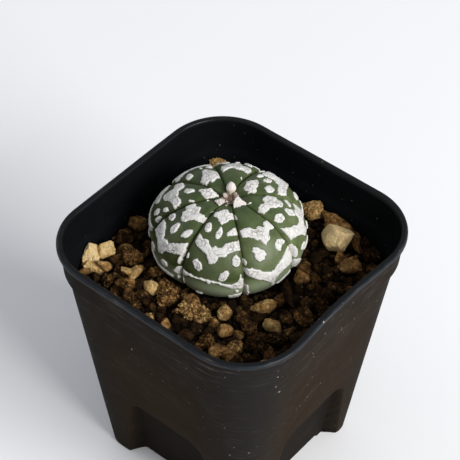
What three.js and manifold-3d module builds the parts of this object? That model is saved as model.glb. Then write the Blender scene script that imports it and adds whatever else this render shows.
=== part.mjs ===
// A star cactus with eight ribs in a square nursery pot of gritty soil.
// Millimetres, +Z up, origin on the ground under the middle of the pot.
// The corner nearest the photograph's camera points to +X and -Y.
import * as THREE from 'three';
import Module from 'manifold-3d';
import { mergeVertices } from 'three/addons/utils/BufferGeometryUtils.js';

const wasm = await Module();
wasm.setup();

// Pot
const POT_SIDE = 75;        // outside of the lip
const POT_HEIGHT = 80.5;
const POT_CORNER = 17.5;    // corner radius at the lip
const LIP_BOW = 0.8;        // how far the +X side of the lip is drawn in
const FOOT_SIDE = 50.4;     // side of the pot at the ground
const SHOULDER_Z = 70;      // where the taper ends and the collar begins
const WALL = 1.15;
const FLOOR_Z = 3;
const FOOT_LIFT = 1;        // underside of the floor above the ground
const SCOOP_TOP = 30.8;     // top edge of the hollow between two feet

// Soil
const GAP = 0.3;            // clearance kept between separate pieces
const SOIL_Z = 65.6;

// Cactus
const BODY_AT = [-7.05, 6.6, 71.8];   // middle of the body at its widest height
const BODY_RADIUS = 21;
const BODY_RISE = 13.2;     // widest height up to the shoulders of the crown
const BODY_DROP = 12.5;     // widest height down to the virtual bottom
const BODY_POWER = 2.25;    // fullness of the profile above its widest height
const UNDER_POWER = 2.1;    // and below it
const CROWN_DIP = 2.1;
const CROWN_SHIFT = [0.4, 0.3];      // the growing point lies a little off the body's axis
const GROOVES = [-87, -38, 6.5, 50, 100, 143, 184, 230, 273];   // degrees, left edge of rib 1 first
const ROOT_Z = 47;

function randomFrom(seed) {
  let s = seed;
  return function () {
    s = (s + 0x6D2B79F5) | 0;
    let t = Math.imul(s ^ (s >>> 15), 1 | s);
    t = (t + Math.imul(t ^ (t >>> 7), 61 | t)) ^ t;
    return ((t ^ (t >>> 14)) >>> 0) / 4294967296;
  };
}

function smooth(x) {
  const t = Math.min(1, Math.max(0, x));
  return t * t * (3 - 2 * t);
}

// One closed loop of a rounded square, counter-clockwise from +X.
// The +X side can be drawn in by `bow` at its middle, as the real lip is.
function loop(side, radius, z, bow = 0) {
  const half = side / 2;
  const flat = half - radius;
  const points = [];
  const corners = [[1, 1, 0], [-1, 1, 90], [-1, -1, 180], [1, -1, 270]];
  for (const [sx, sy, start] of corners) {
    for (let k = 0; k <= 7; k++) {
      const a = (start + (90 * k) / 7) * Math.PI / 180;
      points.push([sx * flat + radius * Math.cos(a), sy * flat + radius * Math.sin(a), z]);
    }
    const from = points[points.length - 1];
    const turn = (start + 90) * Math.PI / 180;
    const run = [-Math.sin(turn), Math.cos(turn)];
    for (let k = 1; k < 4; k++) {
      const t = k / 4;
      const dip = start === 270 ? bow * 4 * t * (1 - t) : 0;
      const x = from[0] + run[0] * 2 * flat * t - Math.cos(turn) * dip;
      const y = from[1] + run[1] * 2 * flat * t - Math.sin(turn) * dip;
      points.push([x, y, z]);
    }
  }
  return points;
}

// A closed skin over a stack of loops, capped at both ends.
function stack(loops) {
  const n = loops[0].length;
  const position = loops.flat(2);
  const index = [];
  for (let j = 0; j + 1 < loops.length; j++) {
    for (let i = 0; i < n; i++) {
      const a = j * n + i;
      const b = j * n + ((i + 1) % n);
      index.push(a, b, b + n);
      index.push(a, b + n, a + n);
    }
  }
  for (const [j, up] of [[0, false], [loops.length - 1, true]]) {
    const middle = position.length / 3;
    const sum = [0, 0, 0];
    for (const p of loops[j]) {
      sum[0] += p[0] / n;
      sum[1] += p[1] / n;
      sum[2] += p[2] / n;
    }
    position.push(...sum);
    for (let i = 0; i < n; i++) {
      const a = j * n + i;
      const b = j * n + ((i + 1) % n);
      index.push(...(up ? [middle, a, b] : [middle, b, a]));
    }
  }
  return solid(position, index);
}

function solid(position, index) {
  const make = (tri) => new wasm.Manifold(new wasm.Mesh({
    numProp: 3,
    vertProperties: new Float32Array(position),
    triVerts: new Uint32Array(tri),
  }));
  const body = make(index);
  if (body.volume() > 0) {
    return body;
  }
  const turned = [];
  for (let i = 0; i < index.length; i += 3) {
    turned.push(index[i], index[i + 2], index[i + 1]);
  }
  return make(turned);
}

function fromGeometry(geometry) {
  geometry.deleteAttribute('normal');
  geometry.deleteAttribute('uv');
  const merged = mergeVertices(geometry, 1e-4);
  return solid(Array.from(merged.attributes.position.array), Array.from(merged.index.array));
}

function toMesh(body, name, colour, roughness) {
  const mesh = body.getMesh();
  const geometry = new THREE.BufferGeometry();
  geometry.setAttribute('position', new THREE.BufferAttribute(new Float32Array(mesh.vertProperties), 3));
  geometry.setIndex(new THREE.BufferAttribute(new Uint32Array(mesh.triVerts), 1));
  geometry.computeVertexNormals();
  const material = new THREE.MeshStandardMaterial({ color: colour, roughness, metalness: 0 });
  const out = new THREE.Mesh(geometry, material);
  out.name = name;
  return out;
}

// Pot: the outside and the inside are two stacks of loops, and the four hollows
// between the feet are cut from both so that the wall stays even.
function taperSide(z) {
  return FOOT_SIDE + (69.8 - FOOT_SIDE) * z / SHOULDER_Z;
}

function taperCorner(z) {
  return 5.5 + (15 - 5.5) * z / SHOULDER_Z;
}

function potOutside() {
  return stack([
    loop(FOOT_SIDE - 1.2, 4.9, 0),
    loop(taperSide(0.7), 5.6, 0.7),
    loop(taperSide(24), taperCorner(24), 24),
    loop(taperSide(48), taperCorner(48), 48),
    loop(taperSide(SHOULDER_Z), taperCorner(SHOULDER_Z), SHOULDER_Z, 0.3),
    loop(72, 16.1, SHOULDER_Z + 1.4, LIP_BOW * 0.6),
    loop(73.2, 16.6, POT_HEIGHT - 1.9, LIP_BOW),
    loop(POT_SIDE - 0.5, POT_CORNER - 0.3, POT_HEIGHT - 1.5, LIP_BOW),
    loop(POT_SIDE, POT_CORNER, POT_HEIGHT - 1, LIP_BOW),
    loop(POT_SIDE, POT_CORNER, POT_HEIGHT - 0.4, LIP_BOW),
    loop(POT_SIDE - 0.6, POT_CORNER - 0.3, POT_HEIGHT, LIP_BOW),
  ]);
}

// The inside of the pot, drawn in by `gap`, from `low` up to `high`.
function potInside(gap, low, high) {
  const inward = 2 * (WALL + gap);
  const straight = [low, 24, 48, SHOULDER_Z - 0.6].filter((z) => z >= low && z < high);
  const loops = straight.map((z) => loop(taperSide(z) - inward, taperCorner(z) - WALL - gap, z));
  if (high > SHOULDER_Z + 1) {
    loops.push(loop(72 - inward, 16.1 - WALL - gap, SHOULDER_Z + 0.8, LIP_BOW * 0.6));
    loops.push(loop(73.1 - inward, 16.3 - WALL - gap, POT_HEIGHT - 0.5, LIP_BOW));
    loops.push(loop(73.6 - inward, 16.5 - WALL - gap, high, LIP_BOW));
  } else {
    loops.push(loop(taperSide(high) - inward, taperCorner(high) - WALL - gap, high));
  }
  return stack(loops);
}

// A hollow with sloping sides and a leaning back. `grow` moves every side outward.
function scoop(grow) {
  const outline = [];
  const low = 17.2 + grow;
  const high = 12 + grow;
  const top = SCOOP_TOP - 1.6 + grow;
  const round = 3.4;
  outline.push([-low, -1.5]);
  outline.push([low, -1.5]);
  for (let k = 0; k <= 4; k++) {
    const a = (k / 4) * Math.PI / 2;
    outline.push([high - round + round * Math.cos(a), top - round + round * Math.sin(a)]);
  }
  for (let k = 0; k <= 4; k++) {
    const a = Math.PI / 2 + (k / 4) * Math.PI / 2;
    outline.push([-high + round + round * Math.cos(a), top - round + round * Math.sin(a)]);
  }
  const back = outline.map(([y, z]) => [20.8 - grow + 0.215 * z, y, z]);
  const front = outline.map(([y, z]) => [40, y * 1.22, z > 0 ? z * 1.09 + 4.2 : z]);
  return stack([back, front]);
}

function fourSides(body) {
  let all = body;
  for (const turn of [90, 180, 270]) {
    all = all.add(body.rotate([0, 0, turn]));
  }
  return all;
}

function drillHoles() {
  let holes = wasm.Manifold.cylinder(10, 3.6, 3.6, 24, true);
  for (const [x, y] of [[11, 11], [-11, 11], [-11, -11], [11, -11]]) {
    holes = holes.add(wasm.Manifold.cylinder(10, 2.8, 2.8, 20, true).translate([x, y, 0]));
  }
  return holes;
}

function pot() {
  const cavity = potInside(0, FLOOR_Z, POT_HEIGHT + 1).subtract(fourSides(scoop(WALL)));
  const channel = wasm.Manifold.cube([80, 27, 2 * FOOT_LIFT], true);
  return potOutside()
    .subtract(fourSides(scoop(0)))
    .subtract(cavity)
    .subtract(channel)
    .subtract(channel.rotate([0, 0, 90]))
    .subtract(drillHoles());
}

// Body of the cactus. `t` is the distance in millimetres along a rib from the crown.
function meridian(t) {
  const steps = meridian.table;
  let k = 1;
  while (k < steps.length - 1 && steps[k][0] < t) {
    k++;
  }
  const [s0, r0, z0] = steps[k - 1];
  const [s1, r1, z1] = steps[k];
  const f = (t - s0) / (s1 - s0);
  return [r0 + (r1 - r0) * f, z0 + (z1 - z0) * f];
}

meridian.table = (function () {
  const rows = [[0, 0, BODY_RISE]];
  let length = 0;
  for (let k = 1; k <= 240; k++) {
    const a = (k / 240) * Math.PI * 0.83;
    const power = 2 / (a < Math.PI / 2 ? BODY_POWER : UNDER_POWER);
    const tall = a < Math.PI / 2 ? BODY_RISE : BODY_DROP;
    const r = BODY_RADIUS * Math.sin(a) ** power;
    const z = tall * Math.sign(Math.cos(a)) * Math.abs(Math.cos(a)) ** power;
    const last = rows[rows.length - 1];
    length += Math.hypot(r - last[1], z - last[2]);
    rows.push([length, r, z]);
  }
  return rows;
})();

const LAST_T = meridian.table[meridian.table.length - 1][0];

// Pale woolly flecks, rib by rib. `u` runs from -1 to 1 across a rib.
// A band is a chevron: [t at its apex, rise of its arms, half thickness, u of the apex].
// A dot is [u, t, half width in mm, half length in mm].
const FLECKS = [
  { bands: [[8.6, 1.2, 1.5, 0.02], [19.6, 3.6, 1.4, -0.1], [26.2, -0.6, 0.5, 0], [30.5, 3, 0.8, 0.75]],
    dots: [[-0.67, 12.1, 1.3, 1.3], [-0.02, 12.8, 1, 1.5], [0.66, 12.6, 1.6, 1],
      [-0.52, 22.3, 1.4, 1], [0.33, 23.7, 1.4, 1], [0.68, 20.2, 1.2, 1.6]] },
  { bands: [[4.6, 1, 1.4, 0.3], [15.4, 2.2, 1.4, -0.02], [25.8, 2.6, 1.3, -0.1], [30.4, 1, 0.6, 0.4]],
    dots: [[-0.4, 19.2, 1.9, 1.5], [0.52, 19.2, 1.6, 1.2]] },
  { bands: [[12.2, 2.6, 1.9, 0.3], [21.6, 1.8, 1.7, -0.1]],
    dots: [[-0.5, 15, 2, 1.2], [0.1, 16.8, 1.3, 1.5]] },
  { bands: [[7, 1.6, 1.7, 0], [17.6, 3, 1.6, 0]],
    dots: [[-0.7, 11.6, 2, 1.3], [0.05, 12.8, 1.3, 1.4], [0.55, 11.6, 1.4, 1.2]] },
  { bands: [[12.6, 1.2, 2, 0], [22, 2.4, 1.5, 0]],
    dots: [[-0.9, 7, 0.7, 0.6], [-0.45, 17, 1.3, 1], [0.45, 17.4, 1.3, 1.1]] },
  { bands: [[9.6, 2, 1.7, -0.2], [20.5, 2.6, 1.5, 0.05]],
    dots: [[-0.45, 14.6, 1.1, 1.2], [0.3, 15.2, 1.2, 1.2]] },
  { bands: [[6.2, 1, 1.6, 0.1], [17.8, 3, 1.6, -0.1]],
    dots: [[0, 10.8, 1.4, 1.2], [0.7, 18.2, 1.1, 0.9], [0.5, 21.2, 1.1, 1.2], [-0.9, 8.5, 1, 0.8]] },
  { bands: [[12.6, 2.2, 1.7, -0.15], [23.6, 3, 1.3, -0.1]],
    dots: [[-0.8, 17, 1, 1.1], [-0.1, 17.4, 1.1, 1.7], [0.62, 16.2, 1.6, 1.2], [0.85, 27, 1, 1.1]] },
];

function fleckHeight(rib, u, t, width) {
  let high = 0;
  for (const [apex, rise, thick, centre] of FLECKS[rib].bands) {
    const off = Math.abs(t - (apex - rise * Math.abs(u - centre)));
    high = Math.max(high, smooth((thick - off) / 0.5 + 0.3));
  }
  for (const [du, dt, wide, long] of FLECKS[rib].dots) {
    const off = Math.hypot((u - du) * width / 2 / wide, (t - dt) / long);
    high = Math.max(high, smooth((1.15 - off) / 0.4));
  }
  return high;
}

// A point of the body's surface on rib `rib` at `u` across it and `t` along it.
function bodyPoint(rib, u, t) {
  const [r, z] = meridian(t);
  const start = GROOVES[rib];
  const end = GROOVES[rib + 1];
  const angle = (start + (end - start) * (u + 1) / 2) * Math.PI / 180;
  const spread = smooth(r / 9);
  const edge = Math.abs(u);
  const crease = 1.1 - 0.07 * Math.max(0, -z);
  const depth = spread * ((0.9 - 0.02 * r) * edge ** 3 + crease * edge ** 16);
  const dip = CROWN_DIP * Math.max(0, 1 - (r / 7) ** 2) ** 2;
  const width = r * (end - start) * Math.PI / 180;
  const lift = 0.3 * fleckHeight(rib, u, t, width) * smooth((1 - edge) / 0.14) * smooth((t - 2.5) / 1.5);
  const out = r - depth * 0.9 + lift * r / BODY_RADIUS;
  const up = z - dip - depth * 0.45 * Math.max(0, z) / BODY_RISE + lift * Math.max(0, z) / BODY_RISE;
  const drift = z > 0 ? 1 - smooth(r / 8) : 0;
  return [
    BODY_AT[0] + CROWN_SHIFT[0] * drift + Math.max(0.05, out) * Math.cos(angle),
    BODY_AT[1] + CROWN_SHIFT[1] * drift + Math.max(0.05, out) * Math.sin(angle),
    BODY_AT[2] + up,
  ];
}

function cactusBody() {
  const across = [-1, -0.93, -0.8, -0.6, -0.38, -0.14, 0.14, 0.38, 0.6, 0.8, 0.93];
  const along = [];
  for (let t = 1.2; t < LAST_T; t += t < 30 ? 1.3 : 2) {
    along.push(t);
  }
  along.push(LAST_T);
  const loops = along.map((t) => {
    const points = [];
    for (let rib = 0; rib < 8; rib++) {
      for (const u of across) {
        points.push(bodyPoint(rib, u, t));
      }
    }
    return points;
  });
  const low = BODY_AT[2] + meridian(LAST_T)[1];
  const n = loops[0].length;
  for (const [radius, z] of [[6.5, low - 1.2], [2.8, low - 3.6], [1.1, ROOT_Z]]) {
    const ring = [];
    for (let i = 0; i < n; i++) {
      const rib = Math.floor(i / across.length);
      const u = across[i % across.length];
      const angle = (GROOVES[rib] + (GROOVES[rib + 1] - GROOVES[rib]) * (u + 1) / 2) * Math.PI / 180;
      ring.push([BODY_AT[0] + radius * Math.cos(angle), BODY_AT[1] + radius * Math.sin(angle), z]);
    }
    loops.push(ring);
  }
  return stack(loops);
}

// A plain turned shape a little larger than the body, used to clear the soil round it.
function bodyEnvelope(gap) {
  const loops = [];
  const add = (radius, z) => {
    const ring = [];
    for (let i = 0; i < 40; i++) {
      const a = (i / 40) * 2 * Math.PI;
      ring.push([BODY_AT[0] + radius * Math.cos(a), BODY_AT[1] + radius * Math.sin(a), z]);
    }
    loops.push(ring);
  };
  const grow = gap + 0.35;
  add(0.4, BODY_AT[2] + BODY_RISE + grow);
  for (let t = 6; t < LAST_T; t += 3) {
    const [r, z] = meridian(t);
    add(r + grow, BODY_AT[2] + z + grow * 0.5 * Math.sign(z));
  }
  const low = BODY_AT[2] + meridian(LAST_T)[1];
  add(meridian(LAST_T)[0] + grow, low - gap);
  add(6.5 + gap + 0.3, low - 1.6 - gap);
  add(2.8 + gap + 0.2, low - 4 - gap);
  add(1.1 + gap + 0.1, ROOT_Z - gap);
  return stack(loops);
}

// Grains of the soil. The large ones sit where the photograph shows them:
// [x, y, width, depth, height of the middle above the soil, turn in degrees].
const LARGE_GRAINS = [
  [15.2, 25.5, 9.4, 9.6, 1.8, 20],
  [-32, -20.5, 4.6, 6, 1, 15],
  [-29.8, -16.6, 5, 5.4, 1, -20],
  [-29.8, -23.2, 4.4, 3, 0.6, 25],
  [-26.4, -20.6, 4, 3.2, 0.6, 40],
  [-23.4, -13.8, 7.2, 6.4, 1, 10],
  [-19.2, -16.6, 3.4, 3.2, 0.7, 0],
  [-20, -19.8, 3, 3, 0.5, 30],
  [-12, -18.6, 3.8, 5, 0.8, 15],
  [-6.6, -18, 6, 7.8, 1, 12],
  [-1, -14.6, 5, 3.4, 0.6, -10],
  [2.8, -17.8, 6.2, 8.4, 1, -25],
  [8.2, -13, 4.2, 6.4, 1, 20],
  [14.8, -5.2, 3.8, 8.2, 1, -40],
  [20, -8.6, 5, 3.8, 0.9, -15],
  [14.6, -25, 3.8, 3.4, 0.6, 0],
  [18, -23.4, 4, 3.8, 0.6, 30],
  [12.4, -17.6, 3.6, 5.2, 0.7, -15],
  [16.2, -12.8, 5.4, 4.4, 0.6, 0],
  [20.6, -16, 7, 6.4, 0.8, 35],
  [25.6, -1.6, 6, 5, 1, 0],
  [24.6, 8, 8, 6.4, 0.9, 20],
  [15.8, 9.8, 4.2, 3.8, 0.8, 0],
  [22.6, 20.2, 4.8, 4.6, 1, 25],
  [19.2, 22, 3.2, 4.2, 0.7, 10],
  [25, 28, 6, 6, 0.8, 0],
  [3.2, 30.4, 7, 5.6, 1.4, 25],
  [12, 32, 5.4, 4, 1, 10],
  [-30, -3, 4.8, 5.4, 0.8, 0],
  [-29.4, -9.6, 5.2, 4.4, 0.6, 0],
  [-15.4, -14.2, 4.2, 3.8, 0.7, 0],
  [-17, -23.8, 5.2, 5, 0.8, 15],
  [-23, -23.6, 4.6, 4.2, 0.7, -20],
  [-28.6, 29, 5, 4.6, 1, 0],
];

function grain(x, y, wide, deep, high, lift, turn, random, detail) {
  const body = new THREE.IcosahedronGeometry(1, detail);
  body.deleteAttribute('normal');
  body.deleteAttribute('uv');
  const geometry = mergeVertices(body, 1e-4);
  const position = geometry.attributes.position;
  const a = turn * Math.PI / 180;
  for (let i = 0; i < position.count; i++) {
    const k = 0.86 + 0.28 * random();
    const px = position.getX(i) * k * wide / 2;
    const py = position.getY(i) * k * deep / 2;
    const pz = position.getZ(i) * k * high / 2;
    position.setXYZ(
      i,
      x + px * Math.cos(a) - py * Math.sin(a),
      y + px * Math.sin(a) + py * Math.cos(a),
      SOIL_Z + lift + pz,
    );
  }
  return fromGeometry(geometry);
}

function soil() {
  const random = randomFrom(17);
  const grains = [];
  const placed = [];
  for (const [x, y, wide, deep, lift, turn] of LARGE_GRAINS) {
    placed.push([x, y, (wide + deep) / 4]);
    const high = Math.min(wide, deep) * 0.85;
    grains.push(grain(x, y, wide, deep, high, lift, turn, random, wide + deep > 10.4 ? 1 : 0));
  }
  for (let tries = 0; tries < 2500; tries++) {
    const radius = 1.5 + 1.6 * random() ** 1.5;
    const x = -33 + 66 * random();
    const y = -33 + 66 * random();
    const turn = 360 * random();
    const fromBody = Math.hypot(x - BODY_AT[0], y - BODY_AT[1]);
    const clash = placed.some(([px, py, pr]) => Math.hypot(px - x, py - y) < (pr + radius) * 0.92);
    if (clash || fromBody < BODY_RADIUS * 0.8) {
      continue;
    }
    placed.push([x, y, radius]);
    const wide = radius * 2 * (0.9 + 0.3 * random());
    grains.push(grain(x, y, wide, radius * 2, radius * 1.7, 0.2 * radius, turn, random, 0));
  }
  const block = potInside(GAP, FLOOR_Z + GAP, SOIL_Z).subtract(fourSides(scoop(WALL + GAP)));
  const room = potInside(GAP, SOIL_Z - 4, POT_HEIGHT - 2);
  const top = grains.reduce((all, one) => all.add(one)).intersect(room);
  const pieces = block.add(top).subtract(bodyEnvelope(GAP)).simplify(0.05).decompose();
  return pieces.reduce((best, one) => (one.volume() > best.volume() ? one : best));
}

// Wool in the dip of the crown, with two pale petals of felt at its edge and one
// pale egg-shaped tuft that stands up behind the middle.
function crownWool() {
  const base = BODY_AT[2] + BODY_RISE - CROWN_DIP;
  const random = randomFrom(5);
  const blob = (x, y, z, rx, ry, rz, detail) => {
    const geometry = new THREE.IcosahedronGeometry(1, detail);
    geometry.scale(rx, ry, rz);
    geometry.translate(BODY_AT[0] + CROWN_SHIFT[0] + x, BODY_AT[1] + CROWN_SHIFT[1] + y, base + z);
    return fromGeometry(geometry);
  };
  let wool = blob(0, 0, 1.05, 1.9, 1.9, 0.65, 1);
  for (let k = 0; k < 8; k++) {
    const a = (GROOVES[k] + 22) * Math.PI / 180;
    const r = 1.5 + 0.25 * random();
    wool = wool.add(blob(r * Math.cos(a), r * Math.sin(a), 1.45 + 0.15 * random(), 0.75, 0.75, 0.6, 0));
  }
  wool = wool.add(blob(2.2, -0.2, 1.75, 1.3, 1.2, 0.55, 1));
  wool = wool.add(blob(-1.3, -2.1, 1.6, 0.95, 0.95, 0.45, 1));
  return wool.add(blob(-1.4, 1.9, 2.4, 1.35, 1.35, 1.6, 1));
}

const group = new THREE.Group();
group.name = 'potted_star_cactus';
group.add(toMesh(pot(), 'pot', 0x2e2a27, 0.55));
group.add(toMesh(soil(), 'soil', 0x7a5a3a, 0.95));
group.add(toMesh(cactusBody(), 'cactus_body', 0x4d6b35, 0.7));
group.add(toMesh(crownWool(), 'crown_wool', 0xb79c7e, 1));

export default group;
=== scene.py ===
import math
import random

import bpy
import numpy as np
from mathutils import Matrix, Vector, noise


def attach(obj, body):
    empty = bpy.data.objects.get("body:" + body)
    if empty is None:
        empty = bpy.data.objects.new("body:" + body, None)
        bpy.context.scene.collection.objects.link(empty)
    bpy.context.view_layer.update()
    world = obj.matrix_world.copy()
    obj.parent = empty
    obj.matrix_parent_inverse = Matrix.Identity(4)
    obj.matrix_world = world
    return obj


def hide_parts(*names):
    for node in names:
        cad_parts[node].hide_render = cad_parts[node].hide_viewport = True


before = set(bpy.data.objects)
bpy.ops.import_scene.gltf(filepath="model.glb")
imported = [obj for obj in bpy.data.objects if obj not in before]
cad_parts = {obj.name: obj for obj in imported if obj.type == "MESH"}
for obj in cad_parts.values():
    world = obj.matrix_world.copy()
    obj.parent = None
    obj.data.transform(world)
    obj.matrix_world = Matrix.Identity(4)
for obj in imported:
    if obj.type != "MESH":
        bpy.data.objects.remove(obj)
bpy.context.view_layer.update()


# View. The pot is seen from beyond its front corner, looking down at 45 degrees
# through a long lens that is turned by just under a degree.
MM = 0.001
view_azimuth = math.radians(39.064)
view_elevation = math.radians(45.386)
view_roll = math.radians(0.919)
view_target = Vector((-1.239, 0.343, 80.5)) * MM
view_distance = 473.019 * MM
lens_length = 142.66
sensor_width = 36
back = Vector((
    math.sin(view_azimuth) * math.cos(view_elevation),
    -math.cos(view_azimuth) * math.cos(view_elevation),
    math.sin(view_elevation),
))
right = Vector((math.cos(view_azimuth), math.sin(view_azimuth), 0))
upward = back.cross(right)
rolled_right = right * math.cos(view_roll) + upward * math.sin(view_roll)
rolled_up = upward * math.cos(view_roll) - right * math.sin(view_roll)
bpy.ops.object.camera_add(location=view_target + back * view_distance)
camera = bpy.context.object
camera.rotation_euler = Matrix((rolled_right, rolled_up, back)).transposed().to_euler()
camera.data.lens = lens_length
camera.data.sensor_width = sensor_width
camera.data.clip_start = 0.01
bpy.context.scene.camera = camera


# Studio. A plain pale floor under soft window-like light that comes from the right
# of the view and a little from behind the pot, with a weak fill from the left.
window_size = (1.2, 0.75)
window_watts = 38.5
window_colour = (1.0, 0.985, 0.965)
fill_size = (0.8, 0.8)
fill_watts = 1.2
fill_colour = (0.92, 0.96, 1.0)
sky_colour = (0.93, 0.95, 1.0, 1)
sky_strength = 0.46
floor_size = 4
floor_colour = (0.93, 0.94, 0.955, 1)


def node(tree, kind, inputs=None, **settings):
    # adds a node, and links or sets each input that is named
    made = tree.nodes.new(kind)
    for name, value in settings.items():
        setattr(made, name, value)
    for name, value in (inputs or {}).items():
        if isinstance(value, bpy.types.NodeSocket):
            tree.links.new(value, made.inputs[name])
        else:
            made.inputs[name].default_value = value
    return made


def new_material(name):
    material = bpy.data.materials.new(name)
    material.use_nodes = True
    material.node_tree.nodes.clear()
    return material, material.node_tree


def add_shader(tree, finish):
    # the material's one shader, with the finish's values and patterns on its inputs
    shader = node(tree, 'ShaderNodeBsdfPrincipled', finish)
    node(tree, 'ShaderNodeOutputMaterial', {"Surface": shader.outputs[0]})


def coat(piece, material):
    piece.data.materials.clear()
    piece.data.materials.append(material)


def start_piece(name, primitive, **sizes):
    # a primitive, added with nothing else selected
    bpy.ops.object.select_all(action='DESELECT')
    primitive(**sizes)
    piece = bpy.context.object
    piece.name = name
    return piece


def soft_light(name, place, size, watts, colour):
    # a rectangle of light that faces the plant
    direction = view_target - place
    bpy.ops.object.light_add(type='AREA', location=place, rotation=direction.to_track_quat('-Z', 'Y').to_euler())
    light = bpy.context.object
    light.name = name
    light.data.shape = 'RECTANGLE'
    light.data.size, light.data.size_y = size
    light.data.energy = watts
    light.data.color = colour


def from_view(sideways, rise, away):
    # a place beside, above and beyond the plant, in metres as seen by the camera
    return view_target + right * sideways + Vector((0, 0, rise)) - Vector((back.x, back.y, 0)).normalized() * away


soft_light("window", from_view(1.21, 0.91, -0.94), window_size, window_watts, window_colour)
soft_light("fill", from_view(-0.9, 0.9, 0.3), fill_size, fill_watts, fill_colour)
world = bpy.data.worlds.new("studio")
world.use_nodes = True
bpy.context.scene.world = world
world.node_tree.nodes["Background"].inputs["Color"].default_value = sky_colour
world.node_tree.nodes["Background"].inputs["Strength"].default_value = sky_strength
bpy.context.scene.view_settings.view_transform = 'Standard'

floor = start_piece("studio_floor", bpy.ops.mesh.primitive_plane_add, size=floor_size, location=(0, 0, 0))
pale_floor, tree = new_material("pale_floor")
add_shader(tree, {"Base Color": floor_colour, "Roughness": 0.8})
coat(floor, pale_floor)


# Pot. A square nursery pot, thin charcoal polypropylene pressed in one piece, with a
# tapered wall, a collar under a rolled lip, and a hollow in each side that makes four feet.
pot_wall = 1.15
foot_side = 50.4
shoulder_side = 69.8
shoulder_height = 70
foot_corner = 5.5
corner_growth = 9.5
shoulder_bow = 0.3
bow_start = 48
floor_top = 3
ring_columns = 368
arc_columns = 24
end_crowding = 0.09
wall_wave = 0.11
wave_length = 19
hollow_half = 16.8
hollow_narrowing = 0.15
hollow_top = 30.2
hollow_corner = 4.5
hollow_plane = 21.3
hollow_lean = 0.2
hollow_shift = 1.0
hollow_edge = 1.7
foot_lift = 1.0
foot_gap = (12.7, 14.1)
middle_drain = 3.6
corner_drain = 2.8
corner_drain_at = 11
merge_distance = 0.0000002


def soft_step(x, low=0.0, high=1.0):
    t = np.clip((x - low) / (high - low), 0, 1)
    return t * t * (3 - 2 * t)


def taper_side(z):
    return foot_side + (shoulder_side - foot_side) * z / shoulder_height


def taper_corner(z):
    return foot_corner + corner_growth * z / shoulder_height


def square_ring(side, corner, bow):
    # a rounded square, denser towards the ends of its straight runs where the hollows end
    flat = side / 2 - corner
    steps = ring_columns // 4 - arc_columns
    ring = []
    for quarter in range(4):
        turn = quarter * math.pi / 2
        for k in range(arc_columns):
            a = k / arc_columns * math.pi / 2
            ring.append((turn, flat + corner * math.cos(a), flat + corner * math.sin(a)))
        for k in range(steps):
            t = 1 - 2 * k / steps
            t = t + end_crowding * math.sin(2 * math.pi * t)
            dip = bow * (1 - t * t) ** 1.5 if quarter == 3 else 0
            ring.append((turn, t * flat, flat + corner - dip))
    return np.array([(x * math.cos(a) - y * math.sin(a), x * math.sin(a) + y * math.cos(a)) for a, x, y in ring])


def level_ring(side, corner, z, bow=0.0):
    return np.column_stack((square_ring(side, corner, bow), np.full(ring_columns, z)))


def hollow_mask(along, z, grow, width):
    # how far inside the sloping outline of a hollow a point of the wall lies
    half = hollow_half + grow - z * hollow_narrowing
    sides = (half - np.abs(along)) * 0.985
    over = hollow_top + grow - z
    a = np.maximum(hollow_corner - sides, 0)
    b = np.maximum(hollow_corner - over, 0)
    inside = hollow_corner - np.hypot(a, b)
    inside = np.where((sides > hollow_corner) & (over > hollow_corner), np.minimum(sides, over), inside)
    return soft_step(inside, -width * 0.35, width)


def press_hollows(points, grow, width=hollow_edge):
    # pushes the middle of each wall back to the leaning plane of its hollow, and tells which points moved
    moved = np.zeros(len(points))
    for axis, sign in ((0, 1), (0, -1), (1, 1), (1, -1)):
        outward = points[:, axis] * sign
        along = points[:, 1 - axis]
        plane = hollow_plane - grow + hollow_lean * points[:, 2]
        middle = hollow_shift * (sign if axis == 0 else -sign)
        mask = hollow_mask(along - middle, points[:, 2], grow, width)
        facing = (outward > np.abs(along) * 0.9) & (outward > plane)
        points[:, axis] = np.where(facing, sign * (outward + (plane - outward) * mask), points[:, axis])
        moved = np.maximum(moved, np.where(facing, mask, 0))
    return moved


def wavy(points, amount, grain_mm, seed):
    # thin pressed plastic is never quite flat
    shift = Vector((seed * 7.1, seed * 3.3, seed * 5.7))
    wave = np.array([noise.noise(Vector(p) / grain_mm + shift) for p in points])
    middle = np.hypot(points[:, 0], points[:, 1])[:, None] + 1e-6
    points[:, :2] += points[:, :2] / middle * (wave * amount)[:, None]


def floor_ring(start_ring, share, z):
    # a level ring part of the way from the wall's loop to the round drain in the middle
    middle = np.hypot(start_ring[:, 0], start_ring[:, 1])
    radius = middle + (middle_drain - middle) * share
    return np.column_stack((start_ring * (radius / middle)[:, None], np.full(len(start_ring), z)))


def put_points(piece, points, unit=MM):
    piece.data.vertices.foreach_set("co", (np.asarray(points) * unit).reshape(-1).astype(np.float32))
    piece.data.update()


def paint(piece, label, values):
    # notes one value for each point, which the material reads
    attribute = piece.data.attributes.new(label, 'FLOAT', 'POINT')
    attribute.data.foreach_set("value", np.asarray(values).reshape(-1).astype(np.float32))


def close_mesh(merge=True, cap=False):
    # merges the seam of the active piece, caps its open ends, and turns its faces outwards
    bpy.ops.object.mode_set(mode='EDIT')
    bpy.ops.mesh.select_all(action='SELECT')
    if merge:
        bpy.ops.mesh.remove_doubles(threshold=merge_distance)
    if cap:
        bpy.ops.mesh.select_all(action='DESELECT')
        bpy.ops.mesh.select_non_manifold()
        bpy.ops.mesh.edge_face_add()
        bpy.ops.mesh.select_all(action='SELECT')
    bpy.ops.mesh.normals_make_consistent(inside=False)
    bpy.ops.object.mode_set(mode='OBJECT')


def smooth_all(piece, degrees):
    bpy.ops.object.select_all(action='DESELECT')
    piece.select_set(True)
    bpy.context.view_layer.objects.active = piece
    bpy.ops.object.shade_smooth_by_angle(angle=math.radians(degrees))


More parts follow.
